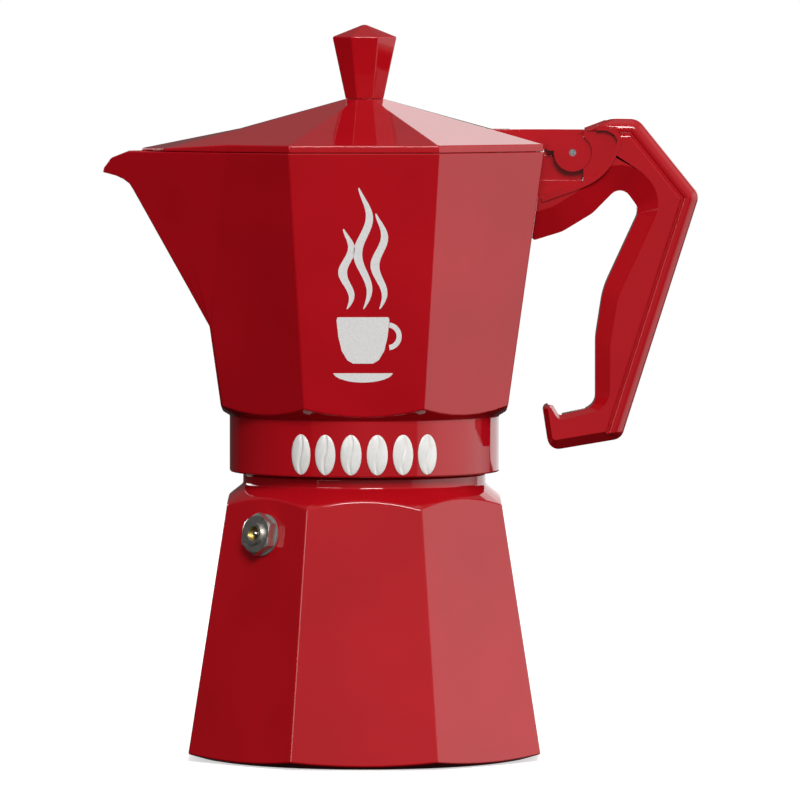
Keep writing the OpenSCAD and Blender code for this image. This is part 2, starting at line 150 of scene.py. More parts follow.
def carve(piece, bm, operation="DIFFERENCE"):
    """Cuts a closed mesh in millimetres from a piece, or joins it to it."""
    tool = make_piece("tool", bm)
    change = piece.modifiers.new("carve", "BOOLEAN")
    change.object, change.operation, change.solver = tool, operation, "MANIFOLD"
    bpy.context.view_layer.update()
    carved = piece.evaluated_get(bpy.context.evaluated_depsgraph_get())
    shaped = bpy.data.meshes.new_from_object(carved)
    piece.modifiers.clear()
    old, piece.data = piece.data, shaped
    bpy.data.meshes.remove(old)
    bpy.data.objects.remove(tool)


def shade(piece, angle=32):
    """Smooth shading with edges kept past an angle, and normals that follow the large faces."""
    piece.data.shade_smooth()
    piece.data.set_sharp_from_angle(angle=math.radians(angle))
    weighted = piece.modifiers.new("weighted", "WEIGHTED_NORMAL")
    weighted.keep_sharp = True


def cylinder(radius, start, end, segments=48):
    """A closed cylinder between two points, in millimetres."""
    bm = bmesh.new()
    start, end = Vector(start), Vector(end)
    axis = end - start
    turn = axis.to_track_quat("Z", "Y").to_matrix().to_4x4()
    place = Matrix.Translation((start + end) / 2) @ turn
    bmesh.ops.create_cone(bm, cap_ends=True, segments=segments, radius1=radius, radius2=radius,
                          depth=axis.length, matrix=place)
    return bm


def linear(hex_colour):
    """An sRGB hex colour as linear red, green, blue and alpha."""
    parts = [int(hex_colour[i:i + 2], 16) / 255 for i in (1, 3, 5)]
    return (*[c / 12.92 if c <= 0.04045 else ((c + 0.055) / 1.055) ** 2.4 for c in parts], 1)


def add_node(tree, kind, inputs={}, **settings):
    """Adds a node with its settings. An input gets a value, or a link to another node's socket.

    In a Map Range node inputs 1 and 2 are the range taken and 3 and 4 the range given. In a Mix
    node 0 is the factor, and 6 and 7 are the two colours.
    """
    new = tree.nodes.new(kind)
    for key, value in settings.items():
        setattr(new, key, value)
    for key, value in inputs.items():
        if isinstance(value, bpy.types.NodeSocket):
            tree.links.new(value, new.inputs[key])
        else:
            new.inputs[key].default_value = value
    return new


def new_material(name, **inputs):
    """A material with one Principled shader, its tree, the shader and the Object coordinates."""
    material = bpy.data.materials.new(name)
    material.use_nodes = True
    tree = material.node_tree
    tree.nodes.clear()
    shader = add_node(tree, "ShaderNodeBsdfPrincipled", inputs)
    add_node(tree, "ShaderNodeOutputMaterial", {"Surface": shader.outputs[0]})
    place = add_node(tree, "ShaderNodeTexCoord").outputs["Object"]
    return material, tree, shader, place


# Baked red lacquer over polished aluminium: deep, even and mirror-glossy, with the faint
# orange peel of a sprayed coat and a slow drift in depth where it ran thicker.
red_lacquer, tree, shader, place = new_material(
    "red_lacquer", **{"IOR": 1.45, "Specular IOR Level": 0.0, "Coat Weight": 1.0,
                      "Coat Roughness": 0.03, "Coat IOR": 1.5})
drift = add_node(tree, "ShaderNodeTexNoise",
                 {"Vector": place, "Scale": 1 / (45 * MM), "Detail": 2.0})
depth = add_node(tree, "ShaderNodeMapRange", {"Value": drift.outputs[0], 1: 0.3, 2: 0.7})
coat = add_node(tree, "ShaderNodeMix",
                {0: depth.outputs[0], 6: linear("#a90c16"), 7: linear("#b8101c")},
                data_type="RGBA")
peel = add_node(tree, "ShaderNodeTexNoise",
                {"Vector": place, "Scale": 1 / (1.6 * MM), "Detail": 1.0})
skin = add_node(tree, "ShaderNodeBump",
                {"Height": peel.outputs[0], "Strength": 0.06, "Distance": 0.02 * MM})
speck = add_node(tree, "ShaderNodeTexNoise",
                 {"Vector": place, "Scale": 1 / (9 * MM), "Detail": 4.0})
haze = add_node(tree, "ShaderNodeMapRange",
                {"Value": speck.outputs[0], 1: 0.35, 2: 0.75, 3: 0.26, 4: 0.36})
tree.links.new(coat.outputs[2], shader.inputs["Base Color"])
tree.links.new(skin.outputs[0], shader.inputs["Normal"])
tree.links.new(skin.outputs[0], shader.inputs["Coat Normal"])
tree.links.new(haze.outputs[0], shader.inputs["Roughness"])

neck_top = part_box("boiler")[1].z / MM
foot_a = 52.35  # the apothem at the foot
wall_lean = 0.1545
foot_disc_r = 47.3
foot_rim_r, foot_rim_z = 49.6, 0.4
foot_flare = 3.36
shoulder_mid_r, shoulder_mid_z = 44, 75.7
shoulder_slope = 1.57
neck_r = 36.1
neck_core = 33.9  # the neck under its thread
mouth_r = 31.2
chamber_r = 47.9  # the chamber at its floor


def boiler_wall(z):
    """The faceted wall's outside at a height."""
    return soft_ring(octagon(foot_a - wall_lean * z, z))


base = boiler_wall(0)
boiler = make_piece("boiler_shell", loft([
    round_ring(base, 0, 0),
    round_ring(base, foot_disc_r, 0),
    round_ring(base, foot_rim_r, foot_rim_z),
    meet_cone(boiler_wall(12), boiler_wall(-1),
              lambda z: foot_rim_r + (z - foot_rim_z) * foot_flare),
    meet_cone(boiler_wall(66), boiler_wall(84),
              lambda z: shoulder_mid_r + (shoulder_mid_z - z) * shoulder_slope),
    round_ring(base, 39.2, 79),
    round_ring(base, neck_r, 81.4),
    round_ring(base, neck_r, 84.2),
    round_ring(base, neck_core, 85.4),
    round_ring(base, neck_core, neck_top - 0.6),
    round_ring(base, neck_core - 0.6, neck_top),
    round_ring(base, mouth_r, neck_top),
    round_ring(base, mouth_r, 80.5),
    round_ring(base, 37.7, 74),
    round_ring(base, chamber_r, 8),
    round_ring(base, 45.5, 4),
    round_ring(base, 0, 4),
    # ring by ring, how widely its edge is rounded
], {3: 0.5, 4: 0.45, 6: 0.5, 7: 0.3, 13: 2.0, 14: 1.5}))
boiler.data.materials.append(red_lacquer)

thread_pitch = 3.0
thread_low = 87.2
thread_height = 1.4
thread_sunk = 0.4  # how deep the ridge's root lies in the wall
root_half, crest_half = 0.8, 0.25
neck_turns, collar_turns = 2.5, 2


def thread(root, tip, z_low, turns):
    """A right-handed ridge wound about Z: its section is spun and rises one pitch a turn."""
    steps = int(turns * 72)
    bm = bmesh.new()
    section = [(root, -root_half), (tip, -crest_half), (tip, crest_half), (root, root_half)]
    face = bm.faces.new([bm.verts.new((r, 0, z_low + z)) for r, z in section])
    bmesh.ops.spin(bm, geom=[face, *face.edges, *face.verts], cent=(0, 0, 0), axis=(0, 0, 1),
                   dvec=(0, 0, thread_pitch * turns / steps),
                   angle=2 * math.pi * turns, steps=steps)
    bmesh.ops.recalc_face_normals(bm, faces=bm.faces)
    return bm


carve(boiler, thread(neck_core - thread_sunk, neck_core + thread_height, thread_low,
                     neck_turns), "UNION")

# the tapped hole for the safety valve, square to the facet between the front and the spout
valve_angle = math.radians(225)
valve_z = 67.6
valve_hole_r = 4.4
valve_a = foot_a - wall_lean * valve_z  # the wall's apothem there
valve_axis = Vector((math.cos(valve_angle), math.sin(valve_angle), wall_lean)).normalized()
valve_seat = Vector((math.cos(valve_angle) * valve_a, math.sin(valve_angle) * valve_a, valve_z))
carve(boiler, cylinder(valve_hole_r, valve_seat - valve_axis * 12, valve_seat + valve_axis * 8))
shade(boiler)
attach(boiler, "boiler")
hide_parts("boiler")


# ---------------------------------------------------------------- safety valve
# A nickel-plated brass body with hexagon flats, screwed into the wall over a fibre washer.
# Inside it a steel pin is held on its seat by a spring under a brass retainer.

# Nickel plate on turned brass: warm grey metal with fine tool marks round the axis.
nickel, tree, shader, place = new_material(
    "nickel_plate", **{"Base Color": linear("#cfccc6"), "Metallic": 1.0})
marks = add_node(tree, "ShaderNodeTexNoise",
                 {"Vector": place, "Scale": 1 / (0.8 * MM), "Detail": 3.0})
spread = add_node(tree, "ShaderNodeMapRange",
                  {"Value": marks.outputs[0], 1: 0.3, 2: 0.7, 3: 0.34, 4: 0.5})
fine = add_node(tree, "ShaderNodeBump",
                {"Height": marks.outputs[0], "Strength": 0.1, "Distance": 0.02 * MM})
tree.links.new(spread.outputs[0], shader.inputs["Roughness"])
tree.links.new(fine.outputs[0], shader.inputs["Normal"])

# Bright drawn steel: screws, washers, pins and wire, with streaks along the drawing direction.
steel, tree, shader, place = new_material("bright_steel", **{"Metallic": 1.0})
stretch = add_node(tree, "ShaderNodeMapping", {"Vector": place, "Scale": (1.0, 6.0, 1.0)})
streak = add_node(tree, "ShaderNodeTexNoise",
                  {"Vector": stretch.outputs[0], "Scale": 1 / (1.2 * MM), "Detail": 3.0})
spread = add_node(tree, "ShaderNodeMapRange",
                  {"Value": streak.outputs[0], 1: 0.3, 2: 0.7, 3: 0.15, 4: 0.32})
tone = add_node(tree, "ShaderNodeMix",
                {0: streak.outputs[0], 6: linear("#b7babd"), 7: linear("#d6d8da")},
                data_type="RGBA")
tree.links.new(spread.outputs[0], shader.inputs["Roughness"])
tree.links.new(tone.outputs[2], shader.inputs["Base Color"])

# Turned brass: yellow metal, slightly dulled between the tool marks.
brass, tree, shader, place = new_material("turned_brass", **{"Metallic": 1.0})
tarnish = add_node(tree, "ShaderNodeTexNoise",
                   {"Vector": place, "Scale": 1 / (2.5 * MM), "Detail": 4.0})
tone = add_node(tree, "ShaderNodeMix",
                {0: tarnish.outputs[0], 6: linear("#b8954a"), 7: linear("#d8b96c")},
                data_type="RGBA")
spread = add_node(tree, "ShaderNodeMapRange",
                  {"Value": tarnish.outputs[0], 1: 0.3, 2: 0.7, 3: 0.35, 4: 0.18})
tree.links.new(tone.outputs[2], shader.inputs["Base Color"])
tree.links.new(spread.outputs[0], shader.inputs["Roughness"])

# Pressed grey fibre: a matt washer with short dark flecks.
fibre, tree, shader, place = new_material("grey_fibre", **{"Roughness": 0.85})
fleck = add_node(tree, "ShaderNodeTexNoise",
                 {"Vector": place, "Scale": 1 / (0.35 * MM), "Detail": 5.0})
tone = add_node(tree, "ShaderNodeMix",
                {0: fleck.outputs[0], 6: linear("#5d605d"), 7: linear("#8b8d89")},
                data_type="RGBA")
nap = add_node(tree, "ShaderNodeBump",
               {"Height": fleck.outputs[0], "Strength": 0.3, "Distance": 0.03 * MM})
tree.links.new(tone.outputs[2], shader.inputs["Base Color"])
tree.links.new(nap.outputs[0], shader.inputs["Normal"])

for part, finish in (("valve_body", nickel), ("valve_washer", fibre), ("valve_pin", steel),
                     ("valve_retainer", brass)):
    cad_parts[part].data.materials[0] = finish

# the spring: round steel wire coiled along the valve's axis up to the retainer
wire_r = 0.26
coil_r = 1.5
coil_turns = 6
coil_low, coil_high = -4.62, 2.22  # along the valve's axis, from the face of the wall
coil_steps = coil_turns * 20
coil = bmesh.new()
wire_end = Matrix.Translation((coil_r, 0, coil_low)) @ Matrix.Rotation(math.pi / 2, 4, "X")
bmesh.ops.create_circle(coil, cap_ends=True, segments=10, radius=wire_r, matrix=wire_end)
bmesh.ops.spin(coil, geom=[*coil.faces, *coil.edges, *coil.verts], cent=(0, 0, 0), axis=(0, 0, 1),
               dvec=(0, 0, (coil_high - coil_low) / coil_steps),
               angle=2 * math.pi * coil_turns, steps=coil_steps)
along_axis = valve_axis.to_track_quat("Z", "Y").to_matrix().to_4x4()
bmesh.ops.transform(coil, matrix=Matrix.Translation(valve_seat) @ along_axis, verts=coil.verts)
spring = make_piece("valve_coil", coil)
spring.data.materials.append(steel)
spring.data.shade_smooth()
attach(spring, "boiler")
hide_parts("valve_spring")
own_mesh(spring)


# ---------------------------------------------------------------- funnel and its disc
# The coffee basket, drawn from aluminium sheet and turned over at its rim, with the riser tube
# pressed into its floor. A loose sieve disc lies in the bottom.

# Plain aluminium, tumbled after pressing: pale, soft-shining, with a fine random grain.
aluminium, tree, shader, place = new_material("tumbled_aluminium", **{"Metallic": 1.0})
grain = add_node(tree, "ShaderNodeTexNoise",
                 {"Vector": place, "Scale": 1 / (0.5 * MM), "Detail": 4.0})
cloud = add_node(tree, "ShaderNodeTexNoise",
                 {"Vector": place, "Scale": 1 / (14 * MM), "Detail": 3.0})
tone = add_node(tree, "ShaderNodeMix",
                {0: cloud.outputs[0], 6: linear("#b4b6b8"), 7: linear("#d2d4d5")},
                data_type="RGBA")
spread = add_node(tree, "ShaderNodeMapRange",
                  {"Value": cloud.outputs[0], 1: 0.3, 2: 0.7, 3: 0.3, 4: 0.46})
frost = add_node(tree, "ShaderNodeBump",
                 {"Height": grain.outputs[0], "Strength": 0.2, "Distance": 0.02 * MM})
tree.links.new(tone.outputs[2], shader.inputs["Base Color"])
tree.links.new(spread.outputs[0], shader.inputs["Roughness"])
tree.links.new(frost.outputs[0], shader.inputs["Normal"])
for part in ("funnel", "funnel_disc"):
    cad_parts[part].data.materials[0] = aluminium


# ---------------------------------------------------------------- gasket and filter plate
# A moulded silicone ring seals the joint between the two pots and holds up the pierced
# aluminium plate that keeps the grounds out of the riser.

# Milky silicone rubber: soft highlights, a little light inside, and the mould's fine matt.
silicone, tree, shader, place = new_material(
    "milky_silicone", **{"Roughness": 0.5, "Subsurface Weight": 0.15, "IOR": 1.41})
bloom = add_node(tree, "ShaderNodeTexNoise",
                 {"Vector": place, "Scale": 1 / (6 * MM), "Detail": 3.0})
tone = add_node(tree, "ShaderNodeMix",
                {0: bloom.outputs[0], 6: linear("#d5d0c4"), 7: linear("#e6e2d8")},
                data_type="RGBA")
mould = add_node(tree, "ShaderNodeTexNoise",
                 {"Vector": place, "Scale": 1 / (0.4 * MM), "Detail": 2.0})
matt = add_node(tree, "ShaderNodeBump",
                {"Height": mould.outputs[0], "Strength": 0.15, "Distance": 0.02 * MM})
tree.links.new(tone.outputs[2], shader.inputs["Base Color"])
tree.links.new(matt.outputs[0], shader.inputs["Normal"])
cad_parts["gasket"].data.materials[0] = silicone
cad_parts["filter_plate"].data.materials[0] = aluminium


# ---------------------------------------------------------------- upper pot
# The coffee collector: an eight-sided casting that widens upward, with a turned collar below
# and a spout whose two flat flanks lean forward to the lip. It is lacquered inside and out.

collar_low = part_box("upper_pot")[0].z / MM
rim_z = 180
rim_a = 52.9  # the apothem at the rim
pot_lean = 0.14
pot_wall = 3.2
collar_r = 40.1
collar_bore = 35.7
spout_foot, inner_foot = 128.5, 131
floor_corner = 107
boss_hole, boss_r, boss_top = 6, 8, 113  # the boss that the riser is pressed into
vault_top = 109.8  # where the cone under the floor meets the riser
gasket_r, gasket_top = 32.8, 100.35
plate_r, plate_top = 28.8, 101.2
collar_step = 96.65  # the top of the threaded bore
pin_x, pin_z = 61.6, 179.6  # the hinge


def flank_point(x, z, inner, side):
    """A point of the spout's flank, which is a plane outside and another inside."""
    if inner:
        edge, slope = -64.4 - (z - inner_foot) * 0.2653, 0.818
    else:
        edge, slope = -80 + 0.2456 * (rim_z - z), 0.869
    return Vector((x, side * max(slope * (x - edge), 0.12), z))


def pot_corners(z, inner=False, nose=None):
    """The corners of the pot at a height, with the four of each of the spout's sides.

    They run from the root of the flank to its tip, whose place along X is nose.
    """
    apothem = rim_a - pot_lean * (rim_z - z) - (pot_wall if inner else 0)
    plain = octagon(apothem, z)
    foot = inner_foot if inner else spout_foot
    root_low, root_high = (Vector((-42.8, 17.7)), Vector((-38.4, 31.9))) if inner else (
        Vector((-45.69, 18.93)), Vector((-40.3, 34.5)))
    sides = {}
    for side in (1, -1):
        before = plain[2] if side > 0 else plain[5]
        edge = plain[3] if side > 0 else plain[4]
        across = plain[4] if side > 0 else plain[3]
        if z <= foot:  # no spout yet: all four lie close to the octagon's own corner
            root = edge.lerp(before, 0.9 / (edge - before).length)
            tip = edge.lerp(across, 0.9 / (edge - across).length)
        else:
            share = (z - foot) / (rim_z - foot)
            spot = root_low.lerp(root_high, share)
            root = Vector((spot.x, side * spot.y, z))
            tip = flank_point(nose, z, inner, side)
        sides[side] = [root, root.lerp(tip, 0.55), root.lerp(tip, 0.8), tip]
    return plain[:3] + sides[1] + sides[-1][::-1] + plain[5:]


def pot_ring(z, inner=False, nose=None):
    """The pot's wall at a height, outside or inside."""
    return soft_ring(pot_corners(z, inner, nose), cut=0.45, along=6)


def rim_ring(inner):
    """The top edge: level round the pot and along the spout, then down its cheeks to the lip."""
    corners = pot_corners(rim_z, inner, -72)
    low = 176 if inner else 175.2
    for first, side in ((3, 1), (10, -1)):
        step = 1 if side > 0 else -1
        shoulder_x, cheek_x, tip_x = (-69.6, -74.6, -75.7) if inner else (-70.2, -75.3, -77.4)
        corners[first + step] = flank_point(shoulder_x, rim_z, inner, side)
        corners[first + 2 * step] = flank_point(cheek_x, 178, inner, side)
        corners[first + 3 * step] = flank_point(tip_x, low, inner, side)
    return soft_ring(corners, cut=0.45, along=6)


# the spout's lowest line, as heights and places along X
inside = [(140, -47.93), (150, -53.64), (160, -59.35), (168, -63.93), (172.5, -66.5),
          (174.2, -69.4)]
outside = [(171.7, -71.4), (170.4, -69.6), (168.7, -68.5), (160, -63.54), (150, -57.85),
           (140, -52.15)]
plinth = pot_ring(floor_corner)
# the cone at the foot of the wall leaves scallops, whose edge is eased by a ring on either side
cone_z = 101.6
scallop = meet_cone(pot_ring(114), pot_ring(98), lambda z: collar_r + (z - cone_z) / 0.605)
above = [p + (high - p).normalized() * 0.5 for p, high in zip(scallop, pot_ring(114))]
below = [p - Vector((p.x, p.y, 0)).normalized() * 0.45 - Vector((0, 0, 0.27)) for p in scallop]
between = [(a + 2 * p + b) / 4 for a, p, b in zip(above, scallop, below)]
rings = [
    round_ring(plinth, boss_hole, vault_top), round_ring(plinth, boss_hole, boss_top),
    round_ring(plinth, boss_r, boss_top),
    round_ring(plinth, 36, 105.4), pot_ring(floor_corner, True), pot_ring(inner_foot, True),
    *[pot_ring(z, True, nose) for z, nose in inside],
    rim_ring(True), rim_ring(False),
    pot_ring(173.7, False, -77.6), pot_ring(172.7, False, -73.6),
    *[pot_ring(z, False, nose) for z, nose in outside],
    pot_ring(spout_foot), pot_ring(115),
    above, between, below,
    round_ring(plinth, collar_r, cone_z),
    round_ring(plinth, collar_r, collar_low),
    round_ring(plinth, collar_bore + 0.6, collar_low), round_ring(plinth, collar_bore, 86.1),
    round_ring(plinth, collar_bore, collar_step), round_ring(plinth, gasket_r, collar_step),
    round_ring(plinth, gasket_r, gasket_top), round_ring(plinth, plate_r, gasket_top),
    round_ring(plinth, plate_r, plate_top), round_ring(plinth, 27, plate_top),
    round_ring(plinth, boss_hole, vault_top),
]
# the numbers of the rings at the inner edge of the rim and just above the scallops
inner_rim = 6 + len(inside)
eaves = inner_rim + 4 + len(outside) + 2
pot = make_piece("upper_pot_shell", loft(rings, {
    3: 1.2, inner_rim: 0.35, inner_rim + 1: 0.45, eaves + 3: 0.3, eaves + 4: 0.6}))
pot.data.materials.append(red_lacquer)


def slab(outline, y_low, y_high, ease=0.0):
    """A closed block with a side outline in X and Z, between two depths in Y, edges rounded."""
    bm = bmesh.new()
    face = bm.faces.new([bm.verts.new((x, y_low, z)) for x, z in outline])
    made = bmesh.ops.extrude_face_region(bm, geom=[face])["geom"]
    moved = [g for g in made if isinstance(g, bmesh.types.BMVert)]
    bmesh.ops.translate(bm, vec=(0, y_high - y_low, 0), verts=moved)
    if ease:
        edges = [e for e in bm.edges if e.calc_face_angle(0) > 0.35]
        bmesh.ops.bevel(bm, geom=edges, offset=ease, offset_type="OFFSET", affect="EDGES",
                        segments=4, profile=0.5, material=-1, clamp_overlap=True)
    bmesh.ops.recalc_face_normals(bm, faces=bm.faces)
    return bm


# the lug: a block that the handle bolts to, a web up to the hinge, and a fence behind the eaves
block = [(49, 166.1), (64.5, 170.9), (64.5, 171.5), (49, 171.5)]
web = [(49, 167), (64.5, 170.9), (64.5, 172.3), (65.7, 172.3), (65.7, 174.6), (65.2, 176),
       (64.6, 176.6), (57.2, 177), (55.5, 179), (50, 179)]
fence = [(51, 176), (57, 176), (57, 181.4), (53.2, 181.4), (53.2, 179.6), (51, 179.6)]
for outline, half, ease in ((block, 7, 0.12), (web, 4.3, 0.25), (fence, 3.6, 0.2)):
    carve(pot, slab(outline, -half, half, ease), "UNION")
barrel_r, barrel_half = 5, 4.4
pin_bore = 1.12
screw_x, screw_bore = 59, 2
carve(pot, cylinder(barrel_r, (pin_x, -barrel_half, pin_z), (pin_x, barrel_half, pin_z)), "UNION")
carve(pot, cylinder(pin_bore, (pin_x, -9, pin_z), (pin_x, 9, pin_z), 32))
carve(pot, cylinder(screw_bore, (screw_x, 0, 160), (screw_x, 0, 173), 32))
carve(pot, thread(collar_bore + thread_sunk, collar_bore - thread_height,
                  thread_low + thread_pitch / 2, collar_turns), "UNION")
shade(pot)
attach(pot, "pot")
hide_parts("upper_pot")
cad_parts["column"].data.materials[0] = aluminium


# ---------------------------------------------------------------- row of beans on the collar
# Six coffee beans in white enamel stand just proud of the collar's front, each an oval dome
# with the wandering crease of a real bean. They are fired on in place of any lettering.

# White enamel, screen-laid and fired: bright, glossy, with a slight unevenness in the glaze.
enamel, tree, shader, place = new_material(
    "white_enamel", **{"Roughness": 0.28, "Coat Weight": 0.5, "Coat Roughness": 0.05})
pool = add_node(tree, "ShaderNodeTexNoise", {"Vector": place, "Scale": 1 / (3 * MM), "Detail": 3.0})
tone = add_node(tree, "ShaderNodeMix",
                {0: pool.outputs[0], 6: linear("#dcdad6"), 7: linear("#f1f0ec")},
                data_type="RGBA")
ripple = add_node(tree, "ShaderNodeBump",
                  {"Height": pool.outputs[0], "Strength": 0.15, "Distance": 0.05 * MM})
tree.links.new(tone.outputs[2], shader.inputs["Base Color"])
tree.links.new(ripple.outputs[0], shader.inputs["Normal"])

bean_half = Vector((3.1, 0.68, 5.9))
bean_z = 91.6
bean_step = 11  # degrees from one bean to the next
crease_sway, crease_width, crease_depth = 0.16, 0.11, 0.85  # as shares of the bean
beans = bmesh.new()
for i in range(6):
    bean = bmesh.ops.create_uvsphere(beans, u_segments=88, v_segments=44, radius=1)["verts"]
    turn = Matrix.Rotation(math.radians(bean_step * (i - 2.5)), 3, "Z")
    for v in bean:
        x, y, z = v.co
        crease = math.exp(-((x - crease_sway * math.sin(z * 3)) / crease_width) ** 2)
        shape = Vector((x * bean_half.x, y * bean_half.y * (1 - crease_depth * crease),
                        z * bean_half.z))
        v.co = turn @ (shape + Vector((0, -collar_r, bean_z)))
beans = make_piece("collar_beans", beans)
beans.data.materials.append(enamel)
shade(beans, 60)
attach(beans, "pot")
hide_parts("collar_ornament")


# ---------------------------------------------------------------- printed cup
# A steaming cup pad-printed in white on the front facet: a thin film of ink, made of a bowl,
# a saucer, an ear-shaped handle and three curls of steam.

# White pad-printing ink: a thin satin film with the faint stipple of the pad.
ink, tree, shader, place = new_material("white_ink", **{"Roughness": 0.45})
stipple = add_node(tree, "ShaderNodeTexNoise",
                   {"Vector": place, "Scale": 1 / (0.6 * MM), "Detail": 3.0})
tone = add_node(tree, "ShaderNodeMix",
                {0: stipple.outputs[0], 6: linear("#d3d0ce"), 7: linear("#f0efed")},
                data_type="RGBA")
tree.links.new(tone.outputs[2], shader.inputs["Base Color"])


def arc_points(x, z, radius, first, last, count=24):
    """Points along an arc in the X and Z plane, between two angles in degrees."""
    angles = [math.radians(first + (last - first) * k / count) for k in range(count + 1)]
    return [(x + radius * math.cos(a), z + radius * math.sin(a)) for a in angles]


def steam(x, low, high, sway):
    """A ribbon that winds upward, widest in its middle and pointed at both ends."""
    left, right = [], []
    for k in range(49):
        t = k / 48
        z = low + (high - low) * t
        middle = x + sway * math.sin(t * 3.3 * math.pi)
        half = 0.15 + 1.15 * math.sin(math.pi * t) ** 0.7
        left.append((middle - half, z))
        right.append((middle + half, z))
    return left + right[::-1]


half_bowl = [(7.4, 132.2), (7.7, 131.4), (7.2, 126.5), (6.2, 122.3), (4.6, 119.6), (2.9, 118.6)]
bowl = half_bowl + [(-x, z) for x, z in half_bowl[::-1]]
saucer_r, saucer_mid, saucer_top = 8.8, 123.2, 116.2
saucer = [(x, saucer_top - (saucer_mid - z) * 0.36)
          for x, z in arc_points(0, saucer_mid, saucer_r, 188, 352)]
ear_x, ear_z = 7.2, 126.6
cup_ear = arc_points(ear_x, ear_z, 4.1, 82, -82) + arc_points(ear_x, ear_z, 2.6, -82, 82)
steam_low = 134.6
curls = [steam(0.2, steam_low, 170, 1.7), steam(-4.6, steam_low, 158, 1.3),
         steam(4.9, steam_low, 162.5, 1.4)]
cup_x = -0.3
ink_sunk, ink_thick = 0.02, 0.09
film = bmesh.new()
for outline in (bowl, saucer, cup_ear, *curls):
    level = [Vector((x + cup_x, ink_sunk - (rim_a - pot_lean * (rim_z - z)), z))
             for x, z in outline]
    face = film.faces.new([film.verts.new(p) for p in level])
    made = bmesh.ops.extrude_face_region(film, geom=[face])["geom"]
    front = [g for g in made if isinstance(g, bmesh.types.BMVert)]
    bmesh.ops.translate(film, vec=(0, -ink_thick, 0), verts=front)
print_film = make_piece("printed_cup", film)
print_film.data.materials.append(ink)
shade(print_film)
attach(print_film, "pot")


# ---------------------------------------------------------------- handle
# One glass-filled nylon moulding, bolted up into the pot's lug: a broad top, a straight grip
# with wide chamfers, and a hooked foot. A groove and a round bead run along its top and back,
# and each side has a sunk leaf behind the hinge.

# Glossy red nylon: a deeper, slightly waxy shine with the mould's soft flow marks.
red_nylon, tree, shader, place = new_material(
    "red_nylon", **{"Roughness": 0.3, "Coat Weight": 1.0, "Coat Roughness": 0.06, "Coat IOR": 1.5,
                    "Specular IOR Level": 0.0})
flow = add_node(tree, "ShaderNodeTexNoise",
                {"Vector": place, "Scale": 1 / (25 * MM), "Detail": 3.0})
tone = add_node(tree, "ShaderNodeMix",
                {0: flow.outputs[0], 6: linear("#a60c14"), 7: linear("#b30f1b")},
                data_type="RGBA")
sink = add_node(tree, "ShaderNodeTexNoise", {"Vector": place, "Scale": 1 / (7 * MM), "Detail": 1.0})
soft = add_node(tree, "ShaderNodeBump",
                {"Height": sink.outputs[0], "Strength": 0.1, "Distance": 0.05 * MM})
tree.links.new(tone.outputs[2], shader.inputs["Base Color"])
tree.links.new(soft.outputs[0], shader.inputs["Normal"])
tree.links.new(soft.outputs[0], shader.inputs["Coat Normal"])


def rounded_outline(corners, insets=None, steps=6):
    """A side outline with arcs, from corners (x, z, radius) and how far each side moves in."""
    count = len(corners)
    spots = [Vector(c[:2]) for c in corners]
    area = sum(spots[i - 1].cross(spots[i]) for i in range(count))
    facing = 1 if area > 0 else -1
    insets = insets or [0] * count
    runs = [(spots[(i + 1) % count] - spots[i]).normalized() for i in range(count)]
    outline = []
    for i in range(count):
        arriving, leaving = runs[i - 1], runs[i]
        bend = 1 if arriving.cross(leaving) * facing > 0 else -1
        shift_in = Vector((-arriving.y, arriving.x)) * facing * insets[i - 1]
        shift_out = Vector((-leaving.y, leaving.x)) * facing * insets[i]
        along = (shift_out - shift_in).cross(leaving) / arriving.cross(leaving)
        spot = spots[i] + shift_in + arriving * along
        moved = (insets[i - 1] + insets[i]) / 2
        radius = max(corners[i][2] - moved * bend, 0.25)
        half = arriving.angle(leaving) / 2
        reach = radius * math.tan(half)
        start, end = spot - arriving * reach, spot + leaving * reach
        middle = start + Vector((-arriving.y, arriving.x)) * facing * radius * bend
        sweep = 2 * half * facing * bend
        spoke = start - middle
        for step in range(steps + 1):
            a = sweep * step / steps
            outline.append(middle + Vector((spoke.x * math.cos(a) - spoke.y * math.sin(a),
                                            spoke.x * math.sin(a) + spoke.y * math.cos(a))))
    return outline


# each side of the outline: where it starts in X and Z, the radius there, how far its chamfer
# reaches in, and whether it has the bead and the groove instead
handle_sides = [
    (49.48, 153.4, 0.8, 0.0, False), (51.3, 166.9, 0.3, 0.0, False), (64.6, 171.0, 0.3, 0.0, False),
    (64.7, 172, 0.3, 0.0, False), (64.75, 186.6, 0.4, 0.9, False), (73, 189.7, 9, 0, True),
    (81, 189.6, 5, 0, True), (99.2, 167, 3.6, 0, True), (76.1, 94.8, 3.5, 3.0, False),
    (54.8, 91.2, 3.2, 1.4, False), (52.7, 104.9, 1.6, 0.8, False), (55.8, 104.9, 0.9, 0.9, False),
    (57.7, 101.7, 1.2, 1.4, False), (68.5, 104.4, 4, 4.2, False), (68.5, 125, 22, 4.6, False),
    (70.7, 139.2, 25, 5.0, False), (81.5, 162.6, 4, 7.5, False), (76, 170.2, 3.4, 7.8, False),
    (67.5, 161.6, 9, 7.9, False), (58.6, 156.2, 9, 8.0, False)]
handle_y = 9.3
edge_y = 5.6
# ring by ring from the side face outward: inset and depth of the bead and its groove, and the
# share of a plain chamfer
bead = [(5.4, 9.3), (5.15, 9.22), (4.95, 9.0), (4.7, 8.4), (4.35, 8.4), (3.95, 8.75), (3.2, 8.95),
        (2.3, 8.85), (1.3, 8.3), (0.5, 7.3), (0.1, 6.4), (0, edge_y)]
slope_share = [1, 0.98, 0.93, 0.85, 0.78, 0.7, 0.6, 0.5, 0.38, 0.24, 0.1, 0]


